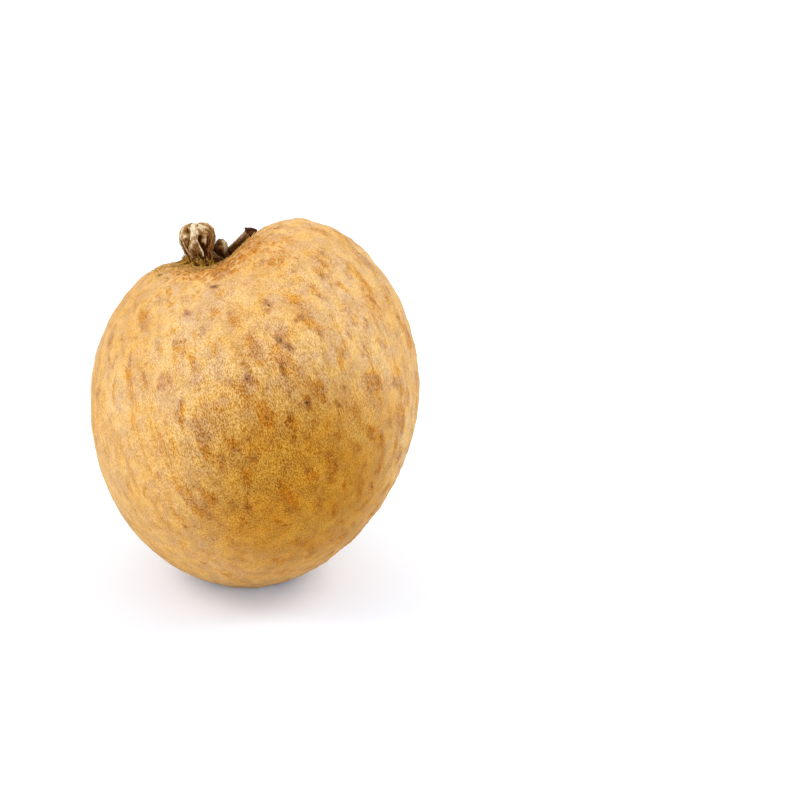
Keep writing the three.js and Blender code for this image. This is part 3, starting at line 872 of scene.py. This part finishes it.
class LONGAN_OT_twig(bpy.types.Operator):
    """Build the side twig: a round knuckle beside the stub and a thin twig with a flared scar"""

    bl_idname = "longan.twig"
    bl_label = "Side twig"

    def execute(self, context):
        colours = context.scene.longan_colours
        tones = (colours.twig_pale, colours.twig, colours.twig_dark, colours.twig_red)
        bark = wood_material("twig_bark", *tones)
        self.twig(bark)
        self.knuckle(bark)
        return {"FINISHED"}

    def twig(self, bark):
        """Rings along the twig, ridged lengthwise, cut aslant at the end, with a spur on its upper side."""
        steps, columns = 170, 84
        route = np.array(TWIG_ROUTE)
        places = above_rind(route[:, 0], route[:, 1], route[:, 2] * MM)
        walked = np.concatenate([[0], np.cumsum(np.linalg.norm(np.diff(places, axis=0), axis=1))]) / MM
        at = np.linspace(0, walked[-1], steps)
        path = curve_through(walked, places, at)
        tangent = unit(np.gradient(path, axis=0))
        left = at[-1] - at
        radii = curve_through(walked, route[:, 3], at) * np.sqrt(np.clip(left / 0.05, 0.12, 1))
        turn = np.linspace(0, 2 * np.pi, columns, endpoint=False)
        around = np.stack(np.broadcast_arrays(np.cos(turn) * 0.7, np.sin(turn) * 0.7, at[:, None]), -1)
        bark_noise = layered_noise(around * (3.2, 3.2, 1.6), 4, 31)
        ridges = 0.5 * np.sin(turn * 6 + at[:, None] * 0.9 + 2 * bark_noise) + bark_noise
        rings = tube_rings(path, (radii[:, None] + 0.035 * ridges) * MM, columns, np.array([0.0, 1, 0]))
        away = rings - path[:, None]
        lower = unit(np.array([1.0, 0, -1]) - tangent * (tangent @ (1.0, 0, -1))[:, None])
        slant = (away * lower[:, None]).sum(-1) * TWIG_CUT * bell(left, 0.45)[:, None]
        spur = bell(1 + (unit(away) * lower[:, None]).sum(-1), 0.12) * bell(left, 0.16)[:, None]
        rings = rings + tangent[:, None] * slant[..., None] + unit(away) * (0.12 * MM * spur)[..., None]
        # Painted light: the twig is paler and less red on its upper side. Painted shade darkens it towards
        # its broken end and near the knuckle.
        lit = unit(away)[..., 2]
        shaded = 1.6 * bell(left, 0.25) + 0.5 * bell(at, 2.2)
        tone = 0.5 * ridges + 0.95 * lit - shaded[:, None] + 0.15
        fields = {"tone": tone, "red": 0.5 + 0.5 * bark_noise - lit * 0.3, "line": around * MM}
        new_skin("side_twig", rings, fields, bark, ("stalk",))

    def knuckle(self, bark):
        """An egg with three half widths, swollen by noise into lumps, where the twig branches off."""
        rows, columns = 90, 120
        fall = np.linspace(0, np.pi, rows + 2)[1:-1, None]
        local = from_pole(fall, np.linspace(0, 2 * np.pi, columns, endpoint=False))
        lumps = layered_noise(local * (3.2, 3.2, 1.8), 4, 41)
        rings = above_rind(*KNUCKLE) + local * KNUCKLE_HALVES * (1 + 0.085 * lumps)[..., None]
        # Painted light: the knuckle is paler on its side towards the upper right front and darker on the
        # far side.
        lit = local @ unit(np.array([0.6, -0.25, 0.75]))
        tone = 0.8 * lumps + 2.1 * lit - 1.25
        fields = {"tone": tone, "red": 0.3 + 0.6 * lumps, "line": local * 0.7 * MM}
        new_skin("knuckle", rings, fields, bark)


class LONGAN_OT_calyx(bpy.types.Operator):
    """Build the calyx: five dry sepals on the rind round the stalk, and the short fibres among them"""

    bl_idname = "longan.calyx"
    bl_label = "Calyx and fibres"

    def execute(self, context):
        shape, colours = context.scene.longan_shape, context.scene.longan_colours
        material = fibre_material("dry_fibre", colours.hair_low, colours.hair_high)
        self.sepals(material)
        self.collar(shape, material)
        self.down(shape, fibre_material("rind_down", colours.down_low, colours.down_high))
        return {"FINISHED"}

    def sepals(self, material):
        """Tapered tongues: flattened tubes from inside the stub's foot out over the rind."""
        steps, columns = 22, 24
        parts, part = [], np.linspace(0, 1, steps)
        for sepal in range(SEPAL_COUNT):
            turn = 20 + 360 / SEPAL_COUNT * sepal + 14 * (scatter(sepal, 9) - 0.5)
            reach = (0.7 + (0.75 + 0.2 * scatter(sepal, 10)) * part) * MM
            middle = on_rind_about_foot(reach, np.full(steps, turn), (0.05 + 0.08 * part) * MM)
            radii = (0.05 + 0.40 * np.sin(np.pi * np.clip(0.25 + 0.72 * part, 0, 1)) ** 1.2) * MM
            outward = unit(middle[-1] - middle[0])
            side = unit(np.cross(unit(middle[0] - CENTRE), outward))
            rings = tube_rings(middle, radii, columns, side, 0.22)
            creases = layered_noise(rings / MM * 4, 2, 51 + sepal)
            rings = rings + unit(rings - CENTRE) * (0.03 * MM * creases)[..., None]
            tip = np.concatenate([np.repeat(part, columns), [0, 1]])
            parts.append((rings, {"tone": 0.2 + 0.3 * with_poles(creases), "tip": 0.3 + 0.5 * tip}))
        points, faces, fields = join(parts)
        new_piece("sepals", points, faces, fields, material, ("calyx",))

    def collar(self, shape, material):
        """Tapered fibres rooted close round the foot, in clumps of one tone: half of them stand up against
        the stub, half lie outwards on the rind, and both reach furthest in front on the right."""
        hair, part = np.arange(shape.collar_count)[:, None], np.linspace(0, 1, 6)
        near, long = scatter(hair, 13), scatter(hair, 14)
        lies = scatter(hair, 19) > 0.5
        turn = 360 * scatter(hair, 12)
        swing = turn + 20 * (scatter(hair, 16) - 0.5) * part
        spread = 0.6 + 0.4 * np.cos(np.radians(turn + 58))

        tall = shape.collar_length * (1.2 - 0.95 * near) * (0.4 + 0.6 * long) * (0.6 + 0.4 * spread)
        sway = 0.24 * near + 0.2 * (scatter(hair, 15) - 0.5)
        standing = 0.98 + 0.8 * spread * near**1.5 + sway * part**1.5
        lying = 0.92 + (0.3 + 1.7 * spread) * (0.3 + 0.7 * long) * part
        reach = MM * np.where(lies, lying, standing)
        drop = MM * (0.06 + (0.15 + 0.4 * near) * (1 - part) ** 1.3)
        middles = on_rind_about_foot(reach, swing, np.where(lies, drop, tall * part - 0.08 * MM))
        radii = (0.03 + 0.03 * scatter(hair, 17)) * MM * (1 - np.where(lies, 0.35, 0.7) * part)
        clump = smooth_noise(turn * (0.13, 0, 0), 71)
        tones = 1.2 * scatter(hair[:, 0], 18) - 0.05 + 2.4 * clump - 0.5 * np.cos(np.radians(turn[:, 0]))
        self.fibres("foot_fibres", middles, radii, tones, material)

    def down(self, shape, material):
        """Short fine fibres all over the rough rind round the stalk, sparser and shorter further out."""
        index = np.arange(2 * shape.down_count)
        share = (index + 0.5) / len(index)
        hair = index[scatter(index, 21) > share**0.7][:, None]
        part = np.linspace(0, 1, 4)
        away = np.radians(DOWN_SPREAD) * np.sqrt(share[hair])
        axes = turn_to(facing(*DOWN_FACES))
        roots = from_pole(away, hair * GOLDEN_ANGLE) @ axes
        lean = np.stack([scatter(hair, kind) - 0.5 for kind in (22, 23, 24)], -1) + 0.5 * (roots - axes[2])
        long = shape.down_length * (1.1 - 0.6 * share[hair]) * (0.4 + 0.6 * scatter(hair, 25))
        ways = unit(roots + 0.05 * lean * part[:, None])
        middles = CENTRE + ways * (rind_radius(ways) + long * part - 0.05 * MM)[..., None]
        radii = (0.022 + 0.016 * scatter(hair, 26)) * MM * (1 - 0.6 * part)
        tones = 1.4 * scatter(hair[:, 0], 27) - 0.1
        self.fibres("dip_down", middles, radii, tones, material)

    def fibres(self, name, middles, radii, tones, material):
        """Many thin closed tubes as one piece. Each has one tone, and `tip` runs from root to end."""
        count, steps = middles.shape[:2]
        tangent = unit(np.gradient(middles, axis=1))
        first = unit(np.cross(tangent, (0.3, 0.9, 0.2)))
        second = np.cross(tangent, first)
        turn = np.linspace(0, 2 * np.pi, FIBRE_SIDES, endpoint=False)[:, None]
        round_it = np.cos(turn) * first[:, :, None] + np.sin(turn) * second[:, :, None]
        rings = middles[:, :, None] + round_it * radii[:, :, None, None]
        points = np.concatenate([rings.reshape(count, -1, 3), middles[:, :1], middles[:, -1:]], 1)
        each = points.shape[1]
        pattern, starts = closed_faces(steps, FIBRE_SIDES), range(0, count * each, each)
        faces = [[corner + start for corner in face] for start in starts for face in pattern]
        tip = np.concatenate([np.repeat(np.linspace(0, 1, steps), FIBRE_SIDES), [0, 1]])
        fields = {"tone": np.repeat(tones, each), "tip": np.tile(tip, count)}
        new_piece(name, points.reshape(-1, 3), faces, fields, material)


def on_rind_about_foot(reach, turn, lift):
    """Points above the rind at a distance from the stalk's foot, at turns about the foot from +X to +Y."""
    foot, right, behind, _ = stub_frame()
    angle = np.radians(turn)[..., None]
    beside = foot + (np.cos(angle) * right + np.sin(angle) * behind) * np.asarray(reach)[..., None]
    ways = unit(beside - CENTRE)
    return CENTRE + ways * (rind_radius(ways) + lift)[..., None]


class LONGAN_OT_studio(bpy.types.Operator):
    """Build the plain white floor, the soft studio light and the camera"""

    bl_idname = "longan.studio"
    bl_label = "Studio"

    def execute(self, context):
        scene = context.scene
        scene.view_settings.view_transform = "Standard"
        self.floor(scene)
        self.dome(scene)
        self.softbox(scene, "left softbox", (-0.38, 0.0, 0.34), size=0.26, watts=1.0)
        self.softbox(scene, "right softbox", (0.34, 0.10, 0.34), size=0.24, watts=1.0)
        self.softbox(scene, "front softbox", (0.0, -0.57, 0.20), size=0.30, watts=1.3)
        self.camera(scene)
        return {"FINISHED"}

    def floor(self, scene):
        """One wide square of white paper, which glows faintly so that the fruit's shadow stays neutral."""
        mesh = bpy.data.meshes.new("floor")
        side = FLOOR_HALF
        corners = ((-side, -side), (side, -side), (side, side), (-side, side))
        mesh.from_pydata([(x, y, -FLOOR_DROP) for x, y in corners], [], [(0, 1, 2, 3)])

        def sockets(graph):
            shade = graph.noise(graph.place(), 3, 2)
            away = graph.node("ShaderNodeVectorMath", {"operation": "LENGTH"}, {0: graph.place()}, "Value")
            # The glow is bluest in the open and greyer where the fruit touches.
            glow = graph.mix(away.step(2.5 * MM, 6 * MM), (0.24, 0.42, 0.70), (0.0, 0.47, 1.0))
            return {
                "Base Color": graph.mix(shade, (0.91, 0.895, 0.885), (0.93, 0.91, 0.90)),
                "Roughness": 0.9,
                "Emission Color": glow,
                "Emission Strength": 0.19,
            }

        mesh.materials.append(surface("floor_paper", sockets))
        floor = bpy.data.objects.new("floor", mesh)
        scene.collection.objects.link(floor)

    def dome(self, scene):
        """Soft light from all round: strongest from above, behind and the left, weakest from the front."""
        world = bpy.data.worlds.new("dome")
        world.use_nodes = True
        scene.world = world
        graph = Graph(world.node_tree)
        way = graph.node("ShaderNodeTexCoord", {}, {}, "Generated")
        split = graph.node("ShaderNodeSeparateXYZ", {}, {0: way})
        left, behind, above = (Wire(graph, split.socket.node.outputs[k]) for k in range(3))
        strength = 0.27 + behind.at_least(0) * 0.35 + above.at_least(0) * 0.56 + (-left).at_least(0) * 0.2
        seen = graph.node("ShaderNodeLightPath", {}, {}, "Is Camera Ray")
        strength = strength * (1 - seen) + seen * 1.05
        background = graph.node("ShaderNodeBackground", {}, {"Color": (1, 1, 1, 1), "Strength": strength})
        graph.node("ShaderNodeOutputWorld", {}, {"Surface": background})

    def softbox(self, scene, name, place, size, watts):
        """A square lamp that faces the fruit's middle."""
        light = bpy.data.lights.new(name, "AREA")
        light.size, light.energy = size, watts
        lamp = bpy.data.objects.new(name, light)
        lamp.location = place
        lamp.rotation_euler = (Vector(place) - Vector(CENTRE)).to_track_quat("Z", "Y").to_euler()
        scene.collection.objects.link(lamp)

    def camera(self, scene):
        """The camera looks level across the fruit from the front, raised by its elevation."""
        studio = scene.longan_studio
        rise = studio.elevation
        back = Vector((0, -math.cos(rise), math.sin(rise)))
        upward = Vector((0, math.sin(rise), math.cos(rise)))
        aside = (studio.fruit_pixel[0] - FRAME_PIXELS / 2) / studio.pixels_per_metre
        below = (FRAME_PIXELS / 2 - studio.fruit_pixel[1]) / studio.pixels_per_metre
        data = bpy.data.cameras.new("camera")
        data.lens = studio.pixels_per_metre * studio.distance / FRAME_PIXELS * data.sensor_width
        data.clip_start, data.clip_end = 0.01, 10
        camera = bpy.data.objects.new("camera", data)
        shift = Vector((1, 0, 0)) * aside + upward * below
        camera.location = Vector(CENTRE) + back * studio.distance - shift
        camera.rotation_euler = back.to_track_quat("Z", "Y").to_euler()
        scene.collection.objects.link(camera)
        scene.camera = camera


class LONGAN_PT_panel(bpy.types.Panel):
    """The longan's pieces and settings"""

    bl_idname = "LONGAN_PT_panel"
    bl_label = "Longan"
    bl_space_type = "VIEW_3D"
    bl_region_type = "UI"
    bl_category = "Longan"

    def draw(self, context):
        for operator in OPERATORS:
            self.layout.operator(operator.bl_idname)
        for group in GROUPS:
            settings = getattr(context.scene, group)
            for name in settings.__annotations__:
                self.layout.prop(settings, name)


OPERATORS = (LONGAN_OT_rind, LONGAN_OT_stub, LONGAN_OT_twig, LONGAN_OT_calyx, LONGAN_OT_studio)
GROUPS = {"longan_shape": LonganShape, "longan_colours": LonganColours, "longan_studio": LonganStudio}


def register():
    for made in (*GROUPS.values(), *OPERATORS, LONGAN_PT_panel):
        bpy.utils.register_class(made)
    for name, group in GROUPS.items():
        setattr(bpy.types.Scene, name, PointerProperty(type=group))


def unregister():
    for name in GROUPS:
        delattr(bpy.types.Scene, name)
    for made in (LONGAN_PT_panel, *reversed(OPERATORS), *reversed(GROUPS.values())):
        bpy.utils.unregister_class(made)


def main():
    register()
    bpy.ops.longan.studio()
    bpy.ops.longan.rind()
    bpy.ops.longan.stub()
    bpy.ops.longan.twig()
    bpy.ops.longan.calyx()


if __name__ == "__main__":
    main()
